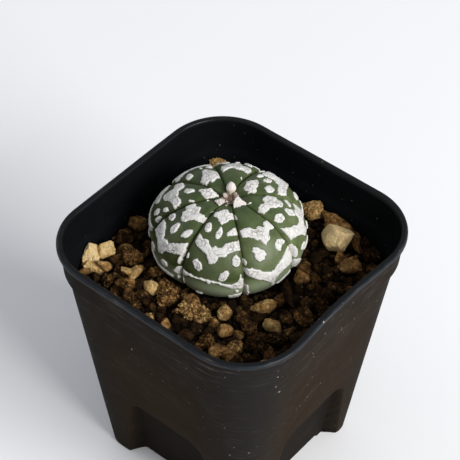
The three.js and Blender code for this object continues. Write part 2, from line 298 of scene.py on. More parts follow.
# each row is the side, the corner radius, the height and the bow of the wall at one level
outer_profile = [(49.0, 4.8, 0.0, 0), (49.7, 5.2, 0.12, 0), (taper_side(0.6), 5.55, 0.6, 0)]
for z in list(np.linspace(1.2, 33, 62)) + list(np.linspace(35, 69, 16)):
    bow = shoulder_bow * max(0, (z - bow_start) / (shoulder_height - bow_start))
    outer_profile.append((taper_side(z), taper_corner(z), z, bow))
outer_profile += [
    (69.9, 15.05, 69.9, 0.3), (70.25, 15.3, 70.25, 0.35), (71.2, 15.8, 70.75, 0.42), (71.8, 16.05, 71.15, 0.46),
    (72.05, 16.15, 71.6, 0.5), (72.3, 16.25, 73.2, 0.6), (72.7, 16.4, 75.6, 0.7), (73.0, 16.55, 77.8, 0.8),
    (73.15, 16.6, 78.45, 0.8), (73.5, 16.75, 78.75, 0.8), (74.3, 17.15, 78.9, 0.8), (74.75, 17.35, 79.1, 0.8),
    (75.0, 17.5, 79.45, 0.8), (75.0, 17.5, 79.95, 0.8), (74.8, 17.4, 80.3, 0.8), (74.4, 17.2, 80.47, 0.8),
    (73.6, 16.85, 80.5, 0.8), (72.4, 16.3, 80.5, 0.8),
]
inner_profile = [
    (71.75, 15.75, 80.45, 0.8), (71.35, 15.5, 80.2, 0.8), (71.2, 15.4, 79.8, 0.8), (70.9, 15.2, 77.5, 0.8),
    (70.3, 15.05, 74.5, 0.65), (69.8, 14.95, 71.6, 0.5), (69.3, 14.7, 70.6, 0.4), (67.8, 13.9, 69.8, 0.3),
    (67.3, 13.8, 69.2, 0.3),
]
for z in list(np.linspace(66, 34, 9)) + list(np.linspace(32, 4, 46)):
    inner_profile.append((taper_side(z) - 2 * pot_wall, max(1.5, taper_corner(z) - pot_wall), z, 0))
inner_profile += [(48.7, 4.4, 3.35, 0), (47.9, 4.2, 3.05, 0)]

outside = np.vstack([level_ring(*row) for row in outer_profile])
inside = np.vstack([level_ring(*row) for row in inner_profile])
wavy(outside, wall_wave, wave_length, 1)
wavy(inside, wall_wave, wave_length, 1)
pressed = press_hollows(outside, 0).reshape(-1, ring_columns)
press_hollows(inside, pot_wall)
outside = outside.reshape(-1, ring_columns, 3)
inside = inside.reshape(-1, ring_columns, 3)
under = [floor_ring(outside[0, :, :2], share, 0) for share in np.linspace(1, 0.02, 30)]
above = [floor_ring(inside[-1, :, :2], share, floor_top) for share in np.linspace(0.03, 1, 12)]
rows = list(under) + list(outside) + list(inside) + list(above)
# the pot stands on its corners alone: a low cross is left clear between the feet
for row in rows[:len(under) + 6]:
    crossing = np.minimum(np.abs(row[:, 0]), np.abs(row[:, 1]))
    row[:, 2] += (1 - soft_step(crossing, *foot_gap)) * np.maximum(0, foot_lift - row[:, 2] * 0.55)

pot = start_piece("nursery_pot", bpy.ops.mesh.primitive_grid_add,
                  x_subdivisions=ring_columns, y_subdivisions=len(rows), size=2)
put_points(pot, [np.vstack((row, row[:1])) for row in rows + rows[:1]])
first_inner = len(under) + len(outside)
inside_share = np.zeros((len(rows) + 1, ring_columns + 1))
inside_share[first_inner - 2:] = 1
# how far each side is pressed back into its hollow, where the material paints the plastic dark as painted shade
hollow_shade_share = np.zeros((len(rows) + 1, ring_columns + 1))
hollow_shade_share[len(under):first_inner] = np.column_stack((pressed, pressed[:, :1]))
paint(pot, "inside", inside_share)
paint(pot, "hollow", hollow_shade_share)
close_mesh()

for x, y in ((1, 1), (-1, 1), (-1, -1), (1, -1)):
    drill = start_piece("drill", bpy.ops.mesh.primitive_cylinder_add,
                        vertices=40, radius=corner_drain * MM, depth=8 * MM,
                        location=(x * corner_drain_at * MM, y * corner_drain_at * MM, 2 * MM))
    bpy.context.view_layer.objects.active = pot
    cut = pot.modifiers.new("drain_hole", 'BOOLEAN')
    cut.operation = 'DIFFERENCE'
    cut.solver = 'MANIFOLD'
    cut.object = drill
    bpy.ops.object.modifier_apply(modifier=cut.name)
    bpy.data.objects.remove(drill)
smooth_all(pot, 38)


def shade_group(name, inputs, output):
    # a shared effect, with named inputs and one value out
    group = bpy.data.node_groups.new(name, 'ShaderNodeTree')
    for label, kind, value in inputs:
        made = group.interface.new_socket(name=label, in_out='INPUT', socket_type=kind)
        if value is not None:
            made.default_value = value
    group.interface.new_socket(name=output, in_out='OUTPUT', socket_type='NodeSocketFloat')
    return group, group.nodes.new('NodeGroupInput').outputs, group.nodes.new('NodeGroupOutput').inputs[output]


def use_group(tree, group, **values):
    return node(tree, 'ShaderNodeGroup', values, node_tree=group).outputs[0]


def calc(tree, operation, first, second, **settings):
    return node(tree, 'ShaderNodeMath', {0: first, 1: second}, operation=operation, **settings).outputs[0]


def noisy(tree, place, scale, detail, roughness=0.5):
    return node(tree, 'ShaderNodeTexNoise', {
        "Vector": place, "Scale": scale, "Detail": detail, "Roughness": roughness})


def stirred(tree, place, scale, detail, amount, roughness=0.5):
    # the place, pushed about by noise, which makes a pattern's edges uneven
    push = noisy(tree, place, scale, detail, roughness).outputs["Color"]
    push = node(tree, 'ShaderNodeVectorMath', {0: push, 1: (amount,) * 3}, operation='MULTIPLY').outputs[0]
    return node(tree, 'ShaderNodeVectorMath', {0: place, 1: push}, operation='ADD').outputs[0]


# small round specks with uneven edges: dust on plastic, mineral grains, dots on skin
specks_group, given, result = shade_group("Specks", [
    ("Place", 'NodeSocketVector', None), ("Scale", 'NodeSocketFloat', 300),
    ("Size", 'NodeSocketFloat', 0.2), ("Share", 'NodeSocketFloat', 0.3)], "Mask")
place = stirred(specks_group, given["Place"], 900, 2, 0.0011)
spots = node(specks_group, 'ShaderNodeTexVoronoi', {"Vector": place, "Scale": given["Scale"]})
tint = node(specks_group, 'ShaderNodeSeparateColor', {"Color": spots.outputs["Color"]}).outputs
size = calc(specks_group, 'MULTIPLY', given["Size"], tint["Green"])
near = calc(specks_group, 'LESS_THAN', spots.outputs["Distance"], size)
kept = calc(specks_group, 'LESS_THAN', tint["Red"], given["Share"])
specks_group.links.new(calc(specks_group, 'MULTIPLY', near, kept), result)

# cloudy change of tone, from 0 to 1
mottle_group, given, result = shade_group("Mottle", [
    ("Place", 'NodeSocketVector', None), ("Scale", 'NodeSocketFloat', 100),
    ("Contrast", 'NodeSocketFloat', 1)], "Value")
broad = noisy(mottle_group, given["Place"], given["Scale"], 6, 0.62).outputs["Fac"]
level = calc(mottle_group, 'ADD', broad, -0.5)
gain = calc(mottle_group, 'MULTIPLY', calc(mottle_group, 'MULTIPLY', level, given["Contrast"]), 2.4)
mottle_group.links.new(calc(mottle_group, 'ADD', gain, 0.5, use_clamp=True), result)


def specks(tree, place, scale, size, share):
    return use_group(tree, specks_group, Place=place, Scale=scale, Size=size, Share=share)


def mottle(tree, place, scale, contrast):
    return use_group(tree, mottle_group, Place=place, Scale=scale, Contrast=contrast)


def blend(tree, share, first, second):
    # a colour from the first, at 0, to the second, at 1
    first, second = ((*c, 1) if isinstance(c, tuple) else c for c in (first, second))
    return node(tree, 'ShaderNodeMix', {0: share, 6: first, 7: second}, data_type='RGBA').outputs[2]


def span(tree, value, low, high, to_low=0.0, to_high=1.0):
    return node(tree, 'ShaderNodeMapRange', {0: value, 1: low, 2: high, 3: to_low, 4: to_high}).outputs[0]


def painted(tree, label):
    return node(tree, 'ShaderNodeAttribute', attribute_name=label).outputs["Fac"]


def place_on_piece(tree):
    return node(tree, 'ShaderNodeTexCoord').outputs["Object"]


def parts_of(tree, vector):
    return node(tree, 'ShaderNodeSeparateXYZ', {0: vector}).outputs


def relief(tree, rise, strength, depth):
    return node(tree, 'ShaderNodeBump', {"Height": rise, "Strength": strength, "Distance": depth}).outputs[0]


plastic, tree = new_material("charcoal_plastic")
where = place_on_piece(tree)
height = parts_of(tree, where)["Z"]
grime = mottle(tree, where, 160, 1.6)
colour = blend(tree, mottle(tree, where, 42, 1.0), (0.0165, 0.0106, 0.0060), (0.0232, 0.0154, 0.0092))
# the corners and the collar are worn to a cooler grey, and the hollows are painted near black: painted shade in
# the recess under each side
across = parts_of(tree, node(tree, 'ShaderNodeVectorMath', {0: where}, operation='ABSOLUTE').outputs[0])
corner = span(tree, calc(tree, 'MINIMUM', across["X"], across["Y"]), 0.013, 0.027, 0.0, 0.85)
worn = calc(tree, 'MAXIMUM', corner, span(tree, height, 0.050, 0.076, 0.0, 0.45))
colour = blend(tree, worn, colour, (0.0150, 0.0150, 0.0155))
colour = blend(tree, span(tree, painted(tree, "hollow"), 0, 1, 0.0, 0.72), colour, (0.0035, 0.0035, 0.0038))
dusty = calc(tree, 'MULTIPLY', grime, span(tree, height, 0.072, 0.02, 0.04, 0.12))
colour = blend(tree, dusty, colour, (0.050, 0.037, 0.026))
lip_share = span(tree, height, 0.0792, 0.0799)
# painted reflection: the rolled lip is painted a cool blue-grey, as if it mirrored the pale room, with darker
# grime patches; its coat below adds real gloss
painted_lip_reflection = blend(tree, grime, (0.0050, 0.0068, 0.0090), (0.0160, 0.0210, 0.0275))
colour = blend(tree, lip_share, colour, painted_lip_reflection)
inner_side = painted(tree, "inside")
# painted shade: the inside of the pot is painted near black and cooler than the outside, for the shade within its
# walls
colour = blend(tree, inner_side, colour, (0.0040, 0.0048, 0.0056))
# short level scratches, thickest on the collar and the corners, and dust on everything
level_map = node(tree, 'ShaderNodeMapping', {"Vector": where, "Scale": (120, 120, 3000)}).outputs[0]
rubbed = calc(tree, 'MAXIMUM', span(tree, height, 0.035, 0.072, 0.12, 1.0), span(tree, corner, 0, 0.85, 0, 0.6))
rubbed = calc(tree, 'MULTIPLY', mottle(tree, where, 85, 2.4), rubbed)
scratches = span(tree, noisy(tree, level_map, 1.0, 3, 0.6).outputs["Fac"], 0.56, 0.68)
scratches = calc(tree, 'MULTIPLY', scratches, rubbed)
scratches = calc(tree, 'MULTIPLY', scratches, span(tree, inner_side, 0, 1, 1.0, 0.06))
colour = blend(tree, calc(tree, 'MULTIPLY', scratches, 0.6), colour, (0.105, 0.092, 0.080))
dust = calc(tree, 'MULTIPLY', specks(tree, where, 700, 0.19, 0.3), span(tree, rubbed, 0.1, 0.7, 0.12, 1.0))
dust = calc(tree, 'MULTIPLY', dust, span(tree, inner_side, 0, 1, 1.0, 0.25))
colour = blend(tree, calc(tree, 'MULTIPLY', dust, 0.8), colour, (0.36, 0.32, 0.28))
grain = calc(tree, 'SUBTRACT', noisy(tree, where, 1500, 3).outputs["Fac"], scratches)
add_shader(tree, {
    "Base Color": colour, "Roughness": span(tree, grime, 0, 1, 0.54, 0.68), "Specular IOR Level": 0.012,
    "Normal": relief(tree, grain, strength=0.12, depth=0.0003),
    "Coat Weight": span(tree, lip_share, 0, 1, 0.0, 0.42), "Coat Roughness": 0.32})
coat(pot, plastic)
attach(pot, "root")
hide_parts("pot")


# Soil bed. The fine dark crumbs that fill the pot to a finger's width under its lip;
# they are tipped in loose round the root and lie close under the plant.
bed_level = 64.6
bed_floor = 3.4
bed_side_gap = 0.8
bed_corner_gap = 0.3
bed_hollow_gap = 0.5
lump_length, lump_height = 2.1, 0.75
crumb_length, crumb_height = 0.8, 0.3
plant_at = np.array((-7.05, 6.6, 71.8))
plant_radius = 21.0
plant_rise = 13.2
plant_drop = 12.5
plant_end = 0.83
profile_steps = 600
upper_fullness = 2.25
lower_fullness = 2.1
root_tip = 47.0
root_hole = 0.7
plant_clearance = 0.45


def plant_profile():
    # distance along a rib from the crown, with the radius and height reached there
    rows = [(0.0, 0.0, plant_rise)]
    for k in range(1, profile_steps + 1):
        a = k / profile_steps * math.pi * plant_end
        top = a < math.pi / 2
        power = 2 / (upper_fullness if top else lower_fullness)
        r = plant_radius * math.sin(a) ** power
        z = (plant_rise if top else plant_drop) * math.copysign(abs(math.cos(a)) ** power, math.cos(a))
        rows.append((rows[-1][0] + math.hypot(r - rows[-1][1], z - rows[-1][2]), r, z))
    return np.array(rows)


profile = plant_profile()
widest = int(np.argmax(profile[:, 1]))
root_low = plant_at[2] + profile[-1, 2]
root_rows = [(6.5, root_low - 1.2), (2.8, root_low - 3.6), (1.1, root_tip)]
root_up = np.array(root_rows[::-1])
clearance_radius = np.concatenate((root_up[:, 0], profile[widest:, 1][::-1])) + root_hole
clearance_height = np.concatenate((root_up[:, 1], plant_at[2] + profile[widest:, 2][::-1])) - plant_clearance


def under_plant(distance):
    # the lowest surface of the plant at a distance from its own middle
    return np.interp(distance, clearance_radius, clearance_height, left=root_tip - 0.5, right=200)


side_rows = []
for z in list(np.linspace(bed_floor, 32, 26)) + list(np.linspace(36, bed_level - 0.4, 7)):
    side = taper_side(z) - 2 * pot_wall - bed_side_gap
    side_rows.append(level_ring(side, max(1.5, taper_corner(z) - pot_wall - bed_corner_gap), z))
side_rows = np.vstack(side_rows)
press_hollows(side_rows, pot_wall + bed_hollow_gap)
bed_rows = list(side_rows.reshape(-1, ring_columns, 3))
foot_ring = bed_rows[0][:, :2]
rim_ring = bed_rows[-1][:, :2]
for share in list(np.linspace(0.015, 0.9, 52)) + [0.93, 0.955, 0.97, 0.985, 0.995]:
    flat = rim_ring + (plant_at[:2] - rim_ring) * share
    distance = np.hypot(*(flat - plant_at[:2]).T)
    lumps = np.array([noise.noise(Vector((x, y, 0)) / lump_length) * lump_height
                      + noise.noise(Vector((x, y, 9)) / crumb_length) * crumb_height for x, y in flat])
    bed_rows.append(np.column_stack((flat, np.minimum(bed_level + lumps, under_plant(distance)))))
for share in (0.35, 0.7, 0.97):
    bed_rows.insert(0, np.column_stack((foot_ring * (1 - share), np.full(ring_columns, bed_floor))))

bed = start_piece("soil_bed", bpy.ops.mesh.primitive_grid_add,
                  x_subdivisions=ring_columns, y_subdivisions=len(bed_rows) - 1, size=2)
put_points(bed, [np.vstack((row, row[:1])) for row in bed_rows])
close_mesh(cap=True)
bpy.ops.object.shade_smooth()

fines, tree = new_material("dark_fines")
where = place_on_piece(tree)
crumbs = node(tree, 'ShaderNodeTexVoronoi', {"Vector": where, "Scale": 850}).outputs["Distance"]
colour = blend(tree, mottle(tree, where, 380, 1.4), (0.006, 0.003, 0.0012), (0.030, 0.014, 0.006))
add_shader(tree, {"Base Color": colour, "Roughness": 0.95, "Specular IOR Level": 0.06,
                  "Normal": relief(tree, crumbs, strength=0.9, depth=0.0008)})
coat(bed, fines)
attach(bed, "root")
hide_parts("soil")


# Soil grains. Baked clay and pumice crumbs of 1 to 9 mm that lie loose on the bed: dark
# brown and porous, orange-brown, tan and pale yellow, broken, and rounded at the edges.
soil_top = 65.6
first_stone_seed = 11
pale_stone_seed = 285
stone_swell = 1.12
stone_height = 0.85
height_swell = 1.1
sharp_pores = 0.2
crumbly_pores = 0.7
scatter_seed = 17
scatter_reach = 33.6
corner_start = 20
corner_reach = 13.6
light_share = 0.36
light_tone = (0.59, 0.11)
dark_tone = (0.25, 0.09)
small_tries = 2600
fine_tries = 9000

# [x, y, width, depth, height above the bed, turn, tone, pores]; tone 0 is dark brown, 1 pale yellow
large_grains = [
    (15.2, 25.5, 7.5, 7.05, 2.9, 90, 1.0, 0.15), (-32, -20.5, 4.6, 5.4, 1.3, 15, 1.0, 0.1),
    (-30.2, -17.2, 3.9, 4.1, 1.2, -20, 0.92, 0.1), (-29.8, -23.2, 4.0, 2.8, 0.6, 25, 0.9, 0.1),
    (-26.4, -20.6, 3.8, 3, 0.6, 40, 0.72, 0.3), (-23.4, -13.8, 6.6, 5.8, 1.2, 10, 0.6, 1.0),
    (-19.2, -16.6, 3.2, 3, 0.7, 0, 0.8, 0.3), (-20.6, -18.6, 2.8, 2.8, 0.7, 30, 0.82, 0.3),
    (-12, -18.6, 3.6, 4.6, 0.8, 15, 0.88, 0.3), (-6.6, -18, 5.8, 6.6, 1, 12, 0.64, 1.0),
    (-1, -14.6, 4.6, 3.2, 0.6, -10, 0.62, 0.4), (2.8, -17.8, 5.8, 6.8, 1, -25, 0.74, 1.0),
    (8.2, -13, 3.6, 5.2, 1, 20, 0.8, 0.5), (14.8, -5.2, 3.6, 6.4, 1, -40, 0.76, 0.4),
    (20, -8.6, 4.4, 3.4, 0.9, -15, 0.8, 0.3), (14.6, -25, 3.6, 3.2, 0.6, 0, 0.66, 0.3),
    (18, -23.4, 3.8, 3.6, 0.6, 30, 0.62, 0.3), (12.4, -17.6, 3.4, 4.6, 0.7, -15, 0.7, 0.4),
    (16.2, -12.8, 4.6, 4.0, 0.6, 0, 0.5, 0.9), (20.6, -16, 6.2, 5.8, 0.8, 35, 0.36, 1.0),
    (25.6, -1.6, 5.4, 4.6, 1, 0, 0.52, 0.9), (24.6, 8, 6.8, 5.6, 0.9, 20, 0.34, 1.0),
    (15.8, 9.8, 4.0, 3.6, 0.8, 0, 0.66, 0.3), (22.6, 20.2, 4.6, 4.2, 1, 25, 0.62, 0.4),
    (19.2, 22, 3.2, 4.0, 0.7, 10, 0.6, 0.4), (25, 28, 5.4, 5.4, 0.8, 0, 0.36, 1.0),
    (3.2, 30.4, 6.4, 5.2, 1.4, 25, 0.78, 0.5), (12.4, 31.6, 6.4, 3.8, 1, 40, 0.62, 0.3),
    (-30, -3, 4.6, 5, 0.8, 0, 0.66, 0.4), (-29.4, -9.6, 4.6, 4.2, 0.6, 0, 0.3, 1.0),
    (-15.4, -14.2, 3.8, 3.6, 0.7, 0, 0.54, 0.8), (-17.8, -22, 5.6, 3.2, 1.2, 39, 0.56, 0.3),
    (-14, -25.4, 3.8, 3.6, 0.8, 15, 0.5, 1.0),
    (-23, -23.6, 4.2, 4, 0.7, -20, 0.5, 0.9), (-28.6, 29, 5, 4.6, 1, 0, 0.82, 0.2),
    (-11.4, -26.6, 4.6, 4.2, 0.7, 10, 0.42, 1.0), (10.8, -23.6, 4.4, 4.2, 0.9, -20, 0.56, 1.0),
    (24.8, -10.6, 4.6, 4.2, 0.7, 30, 0.34, 1.0), (-24.4, 26, 5.2, 4.4, 0.8, 12, 0.5, 1.0),
    (-31, 12, 4.4, 4, 0.7, -14, 0.56, 0.7), (7.6, -29, 4.2, 3.8, 0.6, 0, 0.4, 1.0),
    (22, -25.6, 4.4, 4, 0.6, 20, 0.42, 1.0), (29.4, 14.4, 4, 4.4, 0.6, 8, 0.46, 0.9),
]


def broken_stone(directions, seed, sides, roundness):
    # the inside of random planes, with its edges worn round
    pick = random.Random(seed)
    size = np.zeros(len(directions))
    for _ in range(sides):
        away = np.array([pick.gauss(0, 1) for _ in range(3)])
        away /= np.linalg.norm(away)
        reach = pick.uniform(0.74, 1.0)
        size += np.maximum(directions @ away / reach, 0) ** roundness
    return size ** (-1 / roundness)


def points_of(piece):
    return np.array([v.co for v in piece.data.vertices])


def stone_mesh(name, levels, seed, pores):
    # one stone of unit radius: a broken lump, or with pores a cluster of crumbs with creases between
    stone = start_piece(name, bpy.ops.mesh.primitive_ico_sphere_add, subdivisions=levels, radius=1)
    co = points_of(stone)
    directions = co / np.linalg.norm(co, axis=1)[:, None]
    crumbly = pores > crumbly_pores
    sharp = pores < sharp_pores
    size = broken_stone(directions, seed, 10 if sharp else 13, 5 if crumbly else 18 if sharp else 7)
    shift = Vector((seed * 1.7, seed * 0.9, -seed * 2.3))
    rough = np.array([noise.noise(Vector(d) * 2.3 + shift) * 0.11 + noise.noise(Vector(d) * 6.5 + shift) * 0.08
                      + (noise.noise(Vector(d) * 13 + shift) * 0.05 if levels > 3 else 0) for d in directions])
    if crumbly and levels > 2:
        lumps = np.array([noise.voronoi(Vector(d) * 2.6 + shift)[0] for d in directions])
        grit = np.array([noise.voronoi(Vector(d) * 5.6 - shift)[0] for d in directions])
        rough -= 0.24 * (1 - soft_step(lumps[:, 1] - lumps[:, 0], 0, 0.3))
        rough -= 0.07 * (1 - soft_step(grit[:, 1] - grit[:, 0], 0, 0.3))
    put_points(stone, directions * (size * (1 + rough * (0.4 if sharp else 1)))[:, None], 1)
    return stone


def off_the_wall(co):
    # a stone that would reach into the pot's wall lies flat against it
    side = taper_side(np.minimum(co[:, 2], 69)) - 2 * pot_wall
    corner = taper_corner(np.minimum(co[:, 2], 69)) - pot_wall
    flat = side / 2 - corner
    beyond_x = np.maximum(np.abs(co[:, 0]) - flat, 0)
    beyond_y = np.maximum(np.abs(co[:, 1]) - flat, 0)
    reach = np.maximum(np.hypot(beyond_x, beyond_y), 1e-6)
    pull = np.minimum(1, (corner - 0.35) / reach)
    co[:, 0] = np.sign(co[:, 0]) * (np.minimum(np.abs(co[:, 0]), flat) + beyond_x * pull)
    co[:, 1] = np.sign(co[:, 1]) * (np.minimum(np.abs(co[:, 1]), flat) + beyond_y * pull)
    return co


def set_stone(stone, x, y, wide, deep, high, z, turn, tone, pores):
    # moves a stone to its place in the pot and notes its tone
    co = np.zeros(len(stone.data.vertices) * 3, np.float32)
    stone.data.vertices.foreach_get("co", co)
    co = co.reshape(-1, 3) * (wide / 2, deep / 2, high / 2)
    a = math.radians(turn)
    co = co @ np.array(((math.cos(a), math.sin(a), 0), (-math.sin(a), math.cos(a), 0), (0, 0, 1)))
    put_points(stone, off_the_wall(co + (x, y, z)))
    paint(stone, "tone", np.full(len(co), tone))
    paint(stone, "pores", np.full(len(co), pores))


def join_as(name, parts):
    bpy.ops.object.select_all(action='DESELECT')
    for part in parts:
        part.select_set(True)
    bpy.context.view_layer.objects.active = parts[0]
    bpy.ops.object.join()
    joined = bpy.context.object
    joined.name = name
    return joined


porous_stones = []
pale_stones = []
taken = []
for k, (x, y, wide, deep, lift, turn, tone, pores) in enumerate(large_grains):
    levels = 5 if wide * deep > 20 else 4
    stone = stone_mesh("grain", levels, first_stone_seed + k if k else pale_stone_seed, pores)
    high = min(wide, deep) * stone_height
    set_stone(stone, x, y, wide * stone_swell, deep * stone_swell, high * height_swell, soil_top + lift,
              turn, tone, pores)
    (porous_stones if pores > crumbly_pores else pale_stones).append(stone)
    taken.append((x, y, (wide + deep) / 4))

pick = random.Random(scatter_seed)
small_patterns = [stone_mesh("crumb", 3, 70 + k, 1.0 if k % 2 else 0.5) for k in range(12)]
fine_patterns = [stone_mesh("crumb", 2, 90 + k, 0.5) for k in range(8)]
small_stones = []
fine_stones = []


def scatter_grain(radius, patterns, pile, overlap, lift):
    # tries one random place; the grain lies on the bed, under the plant only where there is room
    x = pick.uniform(-scatter_reach, scatter_reach)
    y = pick.uniform(-scatter_reach, scatter_reach)
    turn = pick.uniform(0, 360)
    tone = min(0.9, max(0.03, pick.gauss(*(light_tone if pick.random() < light_share else dark_tone))))
    from_plant = math.hypot(x - plant_at[0], y - plant_at[1])
    beyond = math.hypot(max(abs(x) - corner_start, 0), max(abs(y) - corner_start, 0))
    if beyond > corner_reach - radius * 1.05:
        return
    if any(math.hypot(px - x, py - y) < (pr + radius) * overlap for px, py, pr in taken):
        return
    z = soil_top - 0.3 + 0.25 * radius + lift - pick.random() * 0.5
    if from_plant < plant_radius + radius and under_plant(from_plant) < z + radius * 0.9:
        z = under_plant(from_plant) - radius * 0.95
        if z < bed_level - 1.4:
            return
    taken.append((x, y, radius))
    stone = patterns[pick.randrange(len(patterns))].copy()
    stone.data = stone.data.copy()
    bpy.context.scene.collection.objects.link(stone)
    wide = radius * 2 * pick.uniform(1.05, 1.35)
    set_stone(stone, x, y, wide, radius * 2.15, radius * 1.9, z, turn, tone, pick.random())
    pile.append(stone)


for _ in range(small_tries):
    scatter_grain(1.35 + 0.95 * pick.random() ** 1.4, small_patterns, small_stones, overlap=0.84, lift=0.25)
for _ in range(fine_tries):
    scatter_grain(0.55 + 0.6 * pick.random() ** 1.3, fine_patterns, fine_stones, overlap=0.72, lift=0.0)
for pattern in small_patterns + fine_patterns:
    bpy.data.objects.remove(pattern)
porous = join_as("porous_grains", porous_stones)
pale = join_as("pale_grains", pale_stones)
crumbs = join_as("small_grains", small_stones)
grit = join_as("fine_grains", fine_stones)

clay, tree = new_material("baked_clay")
where = place_on_piece(tree)
height = parts_of(tree, where)["Z"]
tone = painted(tree, "tone")
# the palest stones are the most even in tone
shift = calc(tree, 'ADD', mottle(tree, where, 620, 1.7), -0.5)
shift = calc(tree, 'MULTIPLY', shift, span(tree, tone, 0.6, 0.95, 0.34, 0.12))
ramp = node(tree, 'ShaderNodeValToRGB', {"Fac": calc(tree, 'ADD', tone, shift)})
stops = [(0.0, (0.012, 0.006, 0.002)), (0.28, (0.036, 0.0165, 0.0045)), (0.5, (0.145, 0.070, 0.021)),
         (0.72, (0.47, 0.255, 0.086)), (0.92, (0.83, 0.57, 0.23)), (1.0, (0.98, 0.73, 0.38))]
while len(ramp.color_ramp.elements) < len(stops):
    ramp.color_ramp.elements.new(0.5)
for element, (position, value) in zip(ramp.color_ramp.elements, stops):
    element.position = position
    element.color = (*value, 1)
colour = ramp.outputs["Color"]
uneven = stirred(tree, where, 800, 4, 0.0024, 0.6)
cracks = node(tree, 'ShaderNodeTexVoronoi', {"Vector": uneven, "Scale": 720}, feature='DISTANCE_TO_EDGE')
deep = span(tree, cracks.outputs["Distance"], 0.12, 0.02)
deep = calc(tree, 'MULTIPLY', deep, span(tree, painted(tree, "pores"), 0.1, 0.9))
# painted shade: the cracks and pores are painted dark, most on the porous stones, as well as sunk in the bump
# below
colour = blend(tree, calc(tree, 'MULTIPLY', deep, 0.8), colour, (0.012, 0.006, 0.002))
# painted shade: the stones are painted near black below their neighbours' tops, where the gaps between them fall
# in shade
colour = blend(tree, span(tree, height, 0.0669, 0.0655, 0.0, 0.94), colour, (0.008, 0.004, 0.0015))
mineral = specks(tree, where, 1300, 0.3, 0.12)
colour = blend(tree, calc(tree, 'MULTIPLY', mineral, 0.45), colour, (0.55, 0.45, 0.33))
# the broken faces: flat facets a millimetre or so across, with sharp edges between
facets = node(tree, 'ShaderNodeTexVoronoi', {"Vector": uneven, "Scale": 900}).outputs["Distance"]
grain = calc(tree, 'SUBTRACT', noisy(tree, where, 2600, 5, 0.7).outputs["Fac"], deep)
grain = calc(tree, 'SUBTRACT', grain, facets)
add_shader(tree, {"Base Color": colour, "Roughness": 0.88, "Specular IOR Level": 0.1,
                  "Normal": relief(tree, grain, strength=0.95, depth=0.0008)})
for piece in (porous, pale, crumbs, grit):
    coat(piece, clay)
    smooth_all(piece, 50)
    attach(piece, "root")
    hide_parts("soil")


# Cactus. A flat round star cactus with eight broad ribs: satin green skin, and raised
# flecks of white felt that run across the ribs as chevrons with rows of spots between.
grooves = np.array([-87, -38, 6.5, 50, 100, 143, 184, 230, 273])
crown_dip = 2.1
crown_shift = np.array((0.4, 0.3))
crown_at = np.array((*(plant_at[:2] + crown_shift), plant_at[2] + plant_rise - crown_dip))
dip_radius = 7
rib_sink = 1.4
crease_depth = 1.1
waver_length, waver_share = 0.95, 0.26
fray_length, fray_share = 0.42, 0.2
swell_length, swell_height = 5.5, 0.22
felt_thickness = 0.40
felt_reach = 1.2
last_felt = 34.4
rib_columns = 68
body_columns = rib_columns * 8


def spot(u, t, half_u, half_t, lean=0.0):
    # an oval outline in rib coordinates: u across the rib, t millimetres from the crown
    turns = [k / 14 * 2 * math.pi for k in range(14)]
    return [(u + half_u * math.cos(a), t + half_t * math.sin(a) + lean * half_t * math.cos(a)) for a in turns]


